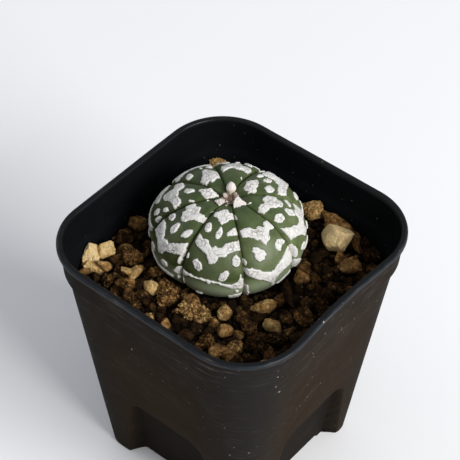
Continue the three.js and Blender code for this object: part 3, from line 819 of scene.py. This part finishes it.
flecks = [
    [   # rib 1, to the front left
        [(-.7, 7.2), (-.45, 6.2), (-.2, 5.2), (.05, 4.6), (.4, 4.9), (.6, 6.4), (.85, 6.6), (1, 7.4), (1, 9.6),
         (.8, 8.7),
         (.55, 8.7), (.35, 9.6), (.1, 10.2), (-.05, 9.8), (-.15, 9.1), (-.35, 8.6), (-.65, 8.6)],
        spot(-.5, 2.4, .4, .35), spot(-.58, 11.9, .21, 1.45), spot(.05, 12.7, .17, 1.65, -.2),
        [(.38, 12.5), (.6, 11.8), (.8, 11.3), (1, 11.9), (1, 13.9), (.85, 13.3), (.6, 13.4), (.45, 13.1)],
        [(-.84, 14.5), (-.6, 15.1), (-.34, 15.1), (-.2, 16.3), (-.12, 16.9), (0, 16.1), (.12, 16.6), (.24, 16.5),
         (.36, 15.5), (.56, 15), (.8, 14.8), (1, 15.4), (1, 18), (.8, 17.5), (.52, 17.9), (.36, 18.9), (.2, 18.9),
         (.14, 20), (-.04, 21.2), (-.14, 20.9), (-.2, 19.6), (-.3, 18.6), (-.5, 18.1), (-.7, 17.5), (-.84, 17.2)],
        spot(-.47, 22.1, .17, 1.4, .35), spot(.36, 24, .15, 1.4, -.4), spot(.44, 23.3, .1, 1),
        spot(.77, 20.1, .15, 1.6), spot(-.9, 21.1, .06, .9),
        [(-.98, 25.6), (-.8, 25.4), (-.5, 25.4), (-.2, 25.4), (0, 25.6), (.2, 25.8), (.42, 26.4), (.6, 26.6),
         (.78, 25.9),
         (.84, 24.8), (.88, 23.6), (.93, 25.4), (1, 26.4), (1, 29), (.86, 28.7), (.7, 28.2), (.55, 27.8),
         (.4, 27.1),
         (.2, 26.4), (0, 26.2), (-.04, 26.9), (-.1, 26.9), (-.12, 26.2), (-.5, 26.1), (-.75, 26.4), (-.88, 27.4),
         (-.98, 28)],
        spot(.77, 29.6, .05, .6), spot(-.93, 29.6, .07, 1.5),
        [(.52, 31.6), (.72, 31.2), (.9, 31.4), (1, 32), (1, 35), (.6, 35.4), (.5, 33.6)],
        spot(-.4, 32.6, .12, .5),
    ],
    [   # rib 2, facing the view
        [(-.5, 2.6), (.5, 2.6), (.6, 4.6), (-.4, 4.4)],
        [(-1, 7.4), (-.88, 7.8), (-.8, 8.8), (-.9, 9.2), (-1, 9.8)],
        [(-.88, 12.4), (-.6, 11.8), (-.34, 11.9), (-.14, 12.6), (-.02, 13.1), (.1, 12.4), (.24, 12.6), (.38, 13.4),
         (.52, 12.8), (.74, 12.6), (1, 13.5), (1, 16.2), (.8, 15.5), (.52, 15.1), (.4, 16), (.28, 17), (.12, 17.4),
         (0, 17.8), (-.08, 16.5), (-.14, 15.8), (-.26, 15.8), (-.34, 15.1), (-.6, 14.3), (-.88, 14.3)],
        [(-.62, 18.2), (-.5, 17.2), (-.38, 17.3), (-.25, 18.3), (-.12, 18.8), (-.08, 20.1), (-.2, 20.6),
         (-.22, 21.2),
         (-.42, 21.2), (-.54, 20.5), (-.58, 19.6), (-.54, 19)],
        [(.33, 20), (.4, 18.8), (.55, 18.1), (.7, 18.4), (.85, 19.6), (.95, 20.2), (.8, 20.4), (.6, 20.5),
         (.5, 21.1),
         (.4, 20.9)],
        [(-1, 22.5), (-.7, 22.6), (-.5, 23.4), (-.35, 24.4), (-.2, 24.9), (.03, 25), (.15, 24.3), (.4, 23.2),
         (.6, 22.4),
         (.85, 21.8), (1, 22), (1, 27.3), (.85, 26.9), (.6, 26.7), (.4, 26.8), (.2, 27.3), (.04, 28.4),
         (.06, 30.6),
         (-.06, 31.2), (-.12, 28.6), (-.25, 27.8), (-.4, 26.8), (-.7, 25.8), (-.82, 24.9), (-1, 24)],
        [(-1, 28), (-.88, 28), (-.86, 30.6), (-.8, 31.4), (-.82, 34), (-1, 34)], spot(-.95, 21, .06, 1),
        [(.2, 31.4), (.5, 31), (.9, 30), (.94, 31.2), (.5, 32.4), (.25, 32.4)],
    ],
    [   # rib 3, to the right
        spot(-.69, 6.4, .19, .45),
        [(-.9, 9.8), (-.7, 9), (-.5, 8.8), (-.24, 9), (0, 9.6), (.14, 9.4), (.4, 9), (.56, 9.4), (.7, 10),
         (.9, 11),
         (.84, 13.2), (.62, 13.6), (.56, 14.4), (.4, 14.8), (.2, 14.6), (.06, 13.5), (-.1, 12.3), (-.24, 11.6),
         (-.5, 11.5), (-.74, 11.3), (-.9, 11.5)],
        spot(-.5, 15, .28, 1.35), spot(.16, 16.9, .18, 1.7), spot(.69, 16.6, .22, .75, -.5),
        [(-.9, 17), (-.7, 17.8), (-.5, 18.9), (-.34, 19), (-.2, 20.1), (0, 20.5), (.2, 20), (.24, 18.8),
         (.4, 18.3),
         (.6, 18.8), (.9, 18.5), (.8, 23.5), (.4, 22), (.2, 22.8), (.24, 24.8), (-.1, 24.8), (-.2, 23.5),
         (-.4, 22.3),
         (-.7, 21.5), (-.85, 21.4)],
        [(-.97, 22.5), (-.88, 22.4), (-.8, 23.6), (-.74, 25), (-.76, 26.8), (-.88, 27.2), (-1, 26)],
        [(-.97, 27.8), (-.9, 27.7), (-.7, 28.8), (-.4, 30.6), (-.55, 31.4), (-.75, 32), (-.9, 31), (-.97, 30)],
        spot(.55, 25.6, .16, 1.2), spot(-.35, 26.6, .17, 1), spot(.1, 28.6, .4, .8, .5), spot(.75, 29.5, .15, 1.1),
    ],
    [   # rib 4, behind on the right
        [(-.88, 5.9), (-.74, 5.4), (-.5, 5.6), (-.3, 5), (0, 4.8), (.2, 5), (.4, 6.2), (.52, 7.2), (.4, 9),
         (.3, 10),
         (.1, 10.1), (-.1, 9.6), (-.3, 8.8), (-.5, 8.1), (-.85, 8.1)],
        spot(-.58, 12, .26, 1.35), spot(.06, 13.3, .17, 1.4), spot(.51, 12.9, .13, 1.2),
        [(-.86, 14.5), (-.6, 14.5), (-.4, 14.9), (-.24, 15.8), (-.1, 15.3), (.08, 15.9), (.24, 14.8), (.4, 14.3),
         (.6, 14.5), (.72, 18.5), (.48, 20), (.3, 18), (.2, 21), (0, 21.9), (-.14, 20.5), (-.3, 19), (-.5, 17.6),
         (-.84, 17)],
        spot(-.55, 21.5, .2, 1.1, .3), spot(.5, 23, .18, 1.2, -.3), spot(.82, 16.8, .1, 1.2),
        [(-.9, 24.6), (-.5, 24.4), (-.2, 25.6), (.1, 25.9), (.4, 25), (.9, 24.6), (.9, 26.6), (.4, 27), (.1, 28.4),
         (-.2, 27.8), (-.5, 26.4), (-.9, 26.6)],
        spot(.5, 30, .2, 1), spot(-.5, 30, .2, 1),
    ],
    [   # rib 5, at the back
        spot(-.79, 8.6, .1, .45),
        [(-.9, 12.2), (-.7, 11.6), (-.5, 12), (-.3, 11.5), (0, 11.6), (.1, 12.2), (.15, 12), (.4, 11.2),
         (.8, 10.2),
         (.8, 13.6), (.5, 14.2), (.2, 15.8), (0, 16), (-.25, 15.6), (-.4, 14.3), (-.6, 14.8), (-.9, 14.6)],
        spot(-.5, 17.8, .2, 1.2, .3), spot(.5, 17.6, .2, 1.2, -.3), spot(0, 19.2, .13, 1.3),
        [(-.9, 20.6), (-.6, 20.4), (-.3, 21.4), (0, 22.4), (.3, 21.5), (.6, 20.6), (.9, 20.8), (.9, 22.8),
         (.5, 23),
         (.2, 24), (0, 25), (-.2, 24.1), (-.5, 23), (-.9, 22.9)],
        spot(-.5, 26.4, .2, 1), spot(.5, 26.4, .2, 1), spot(0, 28, .14, 1.2), spot(-.6, 30, .25, .7),
        spot(.6, 30, .25, .7),
    ],
    [   # rib 6, behind on the left
        [(-.88, 8.2), (-.7, 7.8), (-.4, 7.1), (-.2, 6.6), (.2, 6.6), (.36, 6.9), (.44, 7.5), (.7, 7.4), (.9, 8),
         (.9, 10.2),
         (.66, 10), (.4, 10.4), (.2, 11.2), (0, 12.8), (-.2, 13.5), (-.34, 13.2), (-.46, 12.2), (-.7, 11),
         (-.84, 11.5)],
        spot(.66, 14.6, .22, 1.15), spot(-.22, 15.6, .08, .6), spot(-.65, 15, .18, 1.1),
        [(-.9, 18.4), (-.5, 17.8), (-.3, 18.6), (0, 19.6), (.3, 18.4), (.6, 17.8), (.9, 18.2), (.9, 20.2),
         (.5, 20.4),
         (.2, 21.6), (0, 22.4), (-.2, 21.6), (-.5, 20.6), (-.9, 20.8)],
        spot(-.55, 23.6, .2, 1.1), spot(.5, 23.4, .2, 1.1), spot(0, 25, .14, 1.2),
        [(-.9, 26.6), (-.4, 26.8), (0, 28.2), (.4, 26.8), (.9, 26.6), (.9, 28), (.4, 28.6), (0, 30), (-.4, 28.6),
         (-.9, 28.2)],
    ],
    [   # rib 7, to the left
        [(-.88, 5.2), (-.6, 4.2), (-.3, 3.2), (0, 3.1), (.4, 3.9), (.7, 4.5), (.9, 5.5), (.92, 6.9), (.7, 6.6),
         (.4, 7.1),
         (.16, 7.5), (-.04, 8), (-.24, 7.8), (-.34, 6.8), (-.6, 6.1), (-.84, 6.4)],
        spot(-.06, 10.7, .23, 1.55), spot(.82, 10.4, .1, .6),
        [(-.82, 15), (-.6, 13.2), (-.4, 12.9), (-.26, 13.5), (-.04, 13.8), (.12, 13.5), (.3, 13.4), (.5, 12.9),
         (.7, 12.9),
         (.9, 13.8), (.9, 15.5), (.7, 15.2), (.4, 16), (.28, 17.5), (.12, 18.5), (-.1, 18.6), (-.2, 17.5),
         (-.3, 15.8),
         (-.6, 16.5)],
        spot(.76, 17.6, .12, .85), spot(.58, 20.5, .13, 1.2), spot(.87, 20.9, .08, 1.2),
        [(-.8, 19.4), (-.5, 19), (-.2, 19.6), (.1, 19.8), (.15, 21.4), (-.1, 22), (-.4, 21.4), (-.8, 21.6)],
        [(-.9, 24.4), (-.5, 24), (-.2, 24.8), (.1, 25.4), (.4, 24.4), (.9, 23.8), (.9, 25.8), (.4, 26.4),
         (.1, 27.6),
         (-.2, 27), (-.5, 26), (-.9, 26.2)],
        spot(-.4, 29.4, .2, .9), spot(.5, 29.6, .2, .9),
    ],
    [   # rib 8, to the near left
        [(-.5, 2.2), (.5, 2.2), (.5, 3.6), (-.5, 3.6)], spot(-.76, 6, .12, .35), spot(.92, 7.8, .06, .4),
        [(-.84, 9.7), (-.66, 9.1), (-.48, 9.2), (-.3, 8.7), (-.06, 8.2), (.12, 8.8), (.28, 9.5), (.5, 9.4),
         (.74, 9.4),
         (.96, 10.1), (.98, 12.2), (.8, 11.8), (.5, 11.8), (.3, 12.5), (.12, 13.8), (-.1, 14.5), (-.24, 14),
         (-.44, 13),
         (-.52, 12), (-.84, 12.2)],
        spot(-.62, 16.1, .21, 1.1), spot(-.02, 16.9, .17, 1.75), spot(.64, 16, .2, 1.4, -.4),
        [(-.84, 18.7), (-.6, 18.5), (-.4, 19), (-.2, 20.1), (-.12, 21), (.08, 20.6), (.2, 20.9), (.4, 20),
         (.6, 19.2),
         (.8, 18.5), (.9, 18), (1, 22.5), (.86, 22), (.6, 22.4), (.4, 22.9), (.24, 23.2), (.12, 24.8),
         (-.04, 25.5),
         (-.16, 24.8), (-.2, 23.8), (-.32, 23.2), (-.6, 22.5), (-.8, 23)],
        spot(.88, 23.3, .07, 1.3), [(.7, 27.4), (.8, 26), (.9, 25), (1, 25.4), (1, 28), (.84, 27.9)],
        spot(.9, 29.2, .06, .8), spot(-.5, 26.4, .2, 1.2), spot(.3, 27, .16, 1.1),
        [(-.9, 29), (-.4, 28.6), (0, 29.8), (.4, 29.2), (.7, 29.4), (.7, 30.6), (.4, 30.8), (0, 31.4),
         (-.4, 30.4), (-.9, 30.4)],
    ],
]


def rib_point(rib, u, t):
    # the smooth surface of a rib, without its felt
    r = np.interp(t, profile[:, 0], profile[:, 1])
    z = np.interp(t, profile[:, 0], profile[:, 2])
    low, high = grooves[rib], grooves[rib + 1]
    angle = np.radians(low + (high - low) * (u + 1) / 2)
    edge = np.abs(u)
    crease = crease_depth - 0.07 * np.maximum(0, -z)
    sunk = soft_step(r, 0, 9) * ((rib_sink - 0.03 * r) * edge ** 3 + crease * edge ** 16)
    dip = crown_dip * np.maximum(0, 1 - (r / dip_radius) ** 2) ** 2
    out = np.maximum(0.02, r - sunk * 0.9)
    up = z - dip - sunk * 0.45 * np.maximum(0, z) / plant_rise
    drift = np.where(z > 0, 1 - soft_step(r, 0, 8), 0)
    return np.column_stack((
        plant_at[0] + crown_shift[0] * drift + out * np.cos(angle),
        plant_at[1] + crown_shift[1] * drift + out * np.sin(angle),
        plant_at[2] + up,
    ))


def signed_distance(points, outline, rib_width):
    # millimetres inside (+) or outside (-) a closed outline that is given in rib coordinates
    ring = []
    for a, b in zip(outline, outline[1:] + outline[:1]):
        for s in (0, 1 / 3, 2 / 3):
            ring.append((a[0] + (b[0] - a[0]) * s, a[1] + (b[1] - a[1]) * s))
    ring = np.array(ring)
    ring = np.column_stack((ring[:, 0] * rib_width(ring[:, 1]), ring[:, 1]))
    low, high = ring.min(0) - felt_reach, ring.max(0) + felt_reach
    result = np.full(len(points), -felt_reach)
    close = np.all((points > low) & (points < high), axis=1)
    p = points[close][:, None, :]
    a, b = ring[None], np.roll(ring, -1, axis=0)[None]
    along = np.clip(((p - a) * (b - a)).sum(2) / np.maximum(((b - a) ** 2).sum(2), 1e-9), 0, 1)
    gap = np.linalg.norm(p - a - (b - a) * along[:, :, None], axis=2).min(1)
    over = (a[:, :, 1] > p[:, :, 1]) != (b[:, :, 1] > p[:, :, 1])
    rise = np.where(np.abs(b[:, :, 1] - a[:, :, 1]) < 1e-9, 1e-9, b[:, :, 1] - a[:, :, 1])
    meet = a[:, :, 0] + (p[:, :, 1] - a[:, :, 1]) * (b[:, :, 0] - a[:, :, 0]) / rise
    odd = (over & (p[:, :, 0] < meet)).sum(1) % 2 == 1
    result[close] = np.where(odd, gap, -gap)
    return result


rib_rows = np.array(list(np.arange(0.25, last_felt, 0.22)) + list(np.linspace(35, profile[-1, 0], 6)))
rings = len(rib_rows) + len(root_rows)
cactus = start_piece("star_cactus", bpy.ops.mesh.primitive_uv_sphere_add,
                     segments=body_columns, ring_count=rings + 1, radius=1)
# each point of the ball goes to its row from the crown and its column round the plant
sphere = points_of(cactus)
row_of = np.rint(np.arccos(np.clip(sphere[:, 2], -1, 1)) / math.pi * (rings + 1)).astype(int) - 1
column_of = np.rint(np.arctan2(sphere[:, 1], sphere[:, 0]) / (2 * math.pi) * body_columns).astype(int)
column_of = column_of % body_columns
rib_of = column_of // rib_columns
u_of = (column_of % rib_columns) / rib_columns * 2 - 1
# columns crowd towards the grooves, so that each groove stays crisp
u_of = u_of * (1 + 0.12 * (1 - u_of ** 2))
pole = row_of < 0
t_of = rib_rows[np.clip(row_of, 0, len(rib_rows) - 1)]
t_of[pole] = 0.0
co = rib_point(rib_of, u_of, t_of)

waver = np.array([noise.noise_vector(Vector(p) / waver_length) for p in co])
fray = np.array([noise.noise_vector(Vector(p) / fray_length) for p in co])
felt = np.full(len(co), -felt_reach)
for rib in range(8):
    mine = rib_of == rib
    half_angle = math.radians(grooves[rib + 1] - grooves[rib]) / 2

    def rib_width(t):
        return np.maximum(0.3, np.interp(t, profile[:, 0], profile[:, 1]) * half_angle)

    flat = np.column_stack((u_of[mine] * rib_width(t_of[mine]), t_of[mine]))
    flat += waver[mine][:, :2] * waver_share + fray[mine][:, :2] * fray_share
    best = felt[mine]
    for outline in flecks[rib]:
        best = np.maximum(best, signed_distance(flat, outline, rib_width))
    felt[mine] = best
edge = np.abs(u_of)
radius_of = np.interp(t_of, profile[:, 0], profile[:, 1])
gap_of = (1 - edge) * radius_of * np.radians(np.diff(grooves))[rib_of] / 2
# the felt thins out towards a groove and at the crown, and the skin itself swells gently
lift = felt_thickness * soft_step(felt, -0.06, 0.26)
lift = lift * (1 - 0.75 * soft_step(edge, 0.86, 1.0)) * soft_step(t_of, 1.5, 3.5)
lift += soft_step(felt, 0.0, 0.5) * (fray[:, 2] * 0.07 + waver[:, 2] * 0.06) * soft_step(1 - edge, 0, 0.1)
swell = np.array([noise.noise(Vector(p) / swell_length) for p in co]) * swell_height
lift = (lift + swell * soft_step(1 - edge, 0, 0.4)) * soft_step(t_of, 0.3, 2.5)
lift[t_of > last_felt] = 0
outward = co - (plant_at[0], plant_at[1], plant_at[2] - 4)
outward /= np.linalg.norm(outward, axis=1)[:, None]
co = co + outward * lift[:, None]
for k, (r, z) in enumerate(root_rows):
    here = row_of == len(rib_rows) + k
    low, high = grooves[rib_of[here]], grooves[rib_of[here] + 1]
    angle = np.radians(low + (high - low) * (u_of[here] + 1) / 2)
    co[here] = np.column_stack((plant_at[0] + r * np.cos(angle), plant_at[1] + r * np.sin(angle),
                                np.full(here.sum(), z)))
co[row_of >= rings] = (plant_at[0], plant_at[1], root_tip)
co[pole] = crown_at
put_points(cactus, co)
for label, values in (("felt", felt), ("side", edge), ("along", t_of), ("gap", gap_of)):
    paint(cactus, label, values)
close_mesh(merge=False)
bpy.ops.object.shade_smooth()

skin, tree = new_material("cactus_skin")
where = place_on_piece(tree)
felt_in = painted(tree, "felt")
along = painted(tree, "along")
gap = painted(tree, "gap")
cloud = mottle(tree, where, 260, 1.8)
young_green = blend(tree, cloud, (0.030, 0.050, 0.010), (0.052, 0.079, 0.022))
painted_shade_green = blend(tree, cloud, (0.024, 0.034, 0.0045), (0.044, 0.058, 0.012))
painted_lit_green = blend(tree, cloud, (0.070, 0.099, 0.028), (0.125, 0.160, 0.062))
# painted light and shade: the skin is painted paler on the side that faces the window lamp and darker on the side
# away from it
to_window = node(tree, 'ShaderNodeVectorMath', {0: where, 1: (0.777, 0.630, 0)}, operation='DOT_PRODUCT')
to_window = span(tree, to_window.outputs["Value"], -0.0133, 0.0167)
old_green = blend(tree, to_window, painted_shade_green, painted_lit_green)
green = blend(tree, span(tree, along, 7.0, 19.0), young_green, old_green)
# the rib crests are painted paler lower down: partly the skin's waxy bloom, partly a painted sheen
crest = span(tree, painted(tree, "side"), 0.75, 0.0)
crest = calc(tree, 'MULTIPLY', crest, span(tree, along, 6.0, 24.0, 0.06, 0.28))
green = blend(tree, crest, green, (0.150, 0.190, 0.110))
# painted shade: the grooves between the ribs are painted dark, most near the crown
groove_shade = calc(tree, 'MULTIPLY', span(tree, gap, 0.27, 0.05), span(tree, along, 25.0, 12.0, 0.25, 1.0))
green = blend(tree, groove_shade, green, (0.012, 0.018, 0.006))
dots = specks(tree, where, 1500, 0.26, 0.2)
green = blend(tree, calc(tree, 'MULTIPLY', dots, 0.3), green, (0.24, 0.31, 0.18))
# the skin near the soil is grey with bloom, and is painted paler still as painted light on the underside, which
# falls in shade
green = blend(tree, span(tree, along, 25.5, 29.0, 0.0, 0.85), green, (0.270, 0.325, 0.205))
# the felt's edge is frayed, and veins run through its pile
fuzz = noisy(tree, where, 3400, 4, 0.65).outputs["Fac"]
felt_mask = span(tree, calc(tree, 'ADD', felt_in, calc(tree, 'MULTIPLY', fuzz, 0.3)), 0.10, 0.20)
cracks = node(tree, 'ShaderNodeTexVoronoi', {"Vector": stirred(tree, where, 900, 3, 0.0014), "Scale": 780},
              feature='DISTANCE_TO_EDGE')
vein = calc(tree, 'MULTIPLY', span(tree, cracks.outputs["Distance"], 0.13, 0.01), mottle(tree, where, 330, 1.8))
vein = calc(tree, 'MULTIPLY', vein, span(tree, felt_in, 0.25, 0.5))
white = blend(tree, mottle(tree, where, 420, 0.9), (0.62, 0.605, 0.58), (0.82, 0.815, 0.79))
white = blend(tree, calc(tree, 'MULTIPLY', vein, 0.75), white, (0.27, 0.235, 0.21))
white = blend(tree, span(tree, gap, 0.8, 0.0, 0.0, 0.45), white, (0.36, 0.27, 0.17))
white = blend(tree, span(tree, along, 3.0, 1.5, 0.0, 0.7), white, (0.40, 0.27, 0.18))
colour = blend(tree, felt_mask, green, white)
dull = calc(tree, 'MAXIMUM', felt_mask, span(tree, gap, 1.1, 0.4))
pile = calc(tree, 'SUBTRACT', calc(tree, 'MULTIPLY', fuzz, felt_mask), vein)
leather = node(tree, 'ShaderNodeTexVoronoi', {"Vector": where, "Scale": 1600}).outputs["Distance"]
pile = calc(tree, 'ADD', pile, span(tree, leather, 0, 1, 0, 0.12))
add_shader(tree, {"Base Color": colour, "Roughness": span(tree, dull, 0, 1, 0.46, 0.95), "Specular IOR Level": 0.4,
                  "Normal": relief(tree, pile, strength=0.7, depth=0.0003)})
coat(cactus, skin)
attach(cactus, "root")
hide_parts("cactus_body")


# Crown wool. The tan wool that fills the growing point, with small cream petals of felt
# round it and one smooth upright cream tuft; it grows from the skin.
lock_count = 46
golden_turn = 137.5
petal_sharpness = 9
petal_bulge = 0.3
petal_lean = -50
wool_parts = []
pick = random.Random(5)


def set_at_crown(piece, points, place, lean, turn, tone, tip):
    # leans a piece of wool over, turns it, and sets it at its place from the middle of the crown
    tilt = Matrix.Rotation(math.radians(turn), 3, 'Z') @ Matrix.Rotation(math.radians(lean), 3, 'Y')
    put_points(piece, points @ np.array(tilt.transposed()) + (crown_at + place))
    paint(piece, "tone", np.full(len(points), tone))
    paint(piece, "tip", tip)
    wool_parts.append(piece)


def wool_tuft(place, size, lean, turn, tone, levels, seed, ruffled=0.16, point=0.32, root=0.35, swell=0.0):
    # a soft lock of wool: a ball drawn out along its own axis, leaned over and set at the crown
    tuft = start_piece("tuft", bpy.ops.mesh.primitive_ico_sphere_add, subdivisions=levels, radius=1)
    local = points_of(tuft)
    ruffle = np.array([noise.noise(Vector(p) * 2.2 + Vector((seed, 0, 0))) for p in local])
    upper = local[:, 2].copy()
    local[:, 2] += swell * (1 - upper ** 2)
    local = local * (1 + ruffled * ruffle)[:, None]
    taper = 1 - point * np.clip(upper, 0, 1) - root * np.clip(-upper - 0.1, 0, 1)
    local = local * np.column_stack((taper * size[0] / 2, taper * size[1] / 2, np.full(len(local), size[2] / 2)))
    set_at_crown(tuft, local, place, lean, turn, tone, upper)


def felt_petal(place, corners, depth, turn, seed):
    # a scale of felt: a ball pressed flat to a cornered outline, its back sunk in the crown
    petal = start_piece("petal", bpy.ops.mesh.primitive_ico_sphere_add, subdivisions=4, radius=1)
    ball = points_of(petal)
    plane = ball[:, 1:] / np.maximum(np.linalg.norm(ball[:, 1:], axis=1), 1e-6)[:, None]
    inverse = np.zeros(len(ball))
    for a, b in zip(corners, corners[1:] + corners[:1]):
        normal = np.array((b[1] - a[1], a[0] - b[0]))
        inverse += np.maximum(plane @ normal / (np.array(a) @ normal), 0) ** petal_sharpness
    reach = inverse ** (-1 / petal_sharpness)
    ruffle = np.array([noise.noise(Vector(p) * 2.6 + Vector((seed, 0, 0))) for p in ball])
    local = np.column_stack((
        ball[:, 0] * np.where(ball[:, 0] > 0, petal_bulge, depth) + 0.16 * ruffle,
        ball[:, 1] * reach * (1 + 0.12 * ruffle),
        ball[:, 2] * reach * (1 + 0.12 * ruffle),
    ))
    set_at_crown(petal, local, place, petal_lean, turn, 1, np.ones(len(local)))


wool_tuft((0, 0, 0), (3.4, 3.4, 1.1), 0, 0, 0.05, 4, 1)
for k in range(lock_count):
    a = k * golden_turn
    r = 0.3 + 1.9 * math.sqrt(k / lock_count)
    place = (r * math.cos(math.radians(a)), r * math.sin(math.radians(a)), 0.35 + 0.2 * pick.random() + 0.12 * r)
    size = (pick.uniform(0.3, 0.6), pick.uniform(0.3, 0.6), pick.uniform(0.9, 1.5))
    wool_tuft(place, size, pick.uniform(10, 60), a, pick.uniform(0.0, 0.45), 2, k)
# the egg-shaped tuft, narrow at its foot, and the looser tan tufts beside it
wool_tuft((-1.35, 1.95, 1.75), (2.75, 2.7, 4.3), 21, 124, 1.0, 4, 77, ruffled=0.05, root=0.62, swell=0.2)
wool_tuft((1.15, 0.95, 1.25), (0.9, 1.6, 1.9), 38, 30, 0.42, 3, 79, ruffled=0.3)
wool_tuft((-1.3, -0.4, 1.15), (0.9, 1.5, 1.9), 34, 200, 0.5, 3, 81, ruffled=0.3)
wool_tuft((-0.8, -1.9, 0.9), (0.8, 1.3, 1.8), 50, -110, 0.45, 3, 80, ruffled=0.3)
wool_tuft((0.35, 1.5, 1.3), (0.9, 1.3, 1.5), 35, 80, 0.35, 3, 82, ruffled=0.3)
wool_tuft((0.1, -1.5, 0.8), (0.6, 0.9, 1.2), 55, -86, 0.6, 3, 83, ruffled=0.3)
# a petal's corners go round anticlockwise, in millimetres to the right and upward as seen from the front
felt_petal((3.4, -0.66, 1.5), [(-1.5, -1.75), (2.35, -0.7), (0.3, 1.9), (-1.4, 0.75)], 1.6, -35, 5)
felt_petal((-0.75, -3.45, 1.65), [(-1.54, -0.16), (0.35, -1.1), (1.43, 0.45), (0.16, 0.98)], 1.3, -75, 9)
wool = join_as("crown_tuft", wool_parts)
bpy.ops.object.shade_smooth()

fleece, tree = new_material("crown_wool")
where = place_on_piece(tree)
cloud = mottle(tree, where, 900, 1.2)
tan = blend(tree, cloud, (0.155, 0.092, 0.056), (0.36, 0.25, 0.17))
cream = blend(tree, span(tree, painted(tree, "tip"), -0.7, 0.2), (0.60, 0.51, 0.33), (0.72, 0.665, 0.635))
cream = blend(tree, span(tree, cloud, 0, 1, 0.0, 0.35), cream, (0.56, 0.48, 0.44))
strands = noisy(tree, where, 5200, 4).outputs["Fac"]
add_shader(tree, {"Base Color": blend(tree, painted(tree, "tone"), tan, cream), "Roughness": 0.9,
                  "Normal": relief(tree, strands, strength=0.6, depth=0.0002), "Specular IOR Level": 0.25,
                  "Subsurface Weight": 0.15, "Subsurface Radius": (0.001, 0.0006, 0.0004)})
coat(wool, fleece)
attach(wool, "root")
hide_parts("crown_wool")
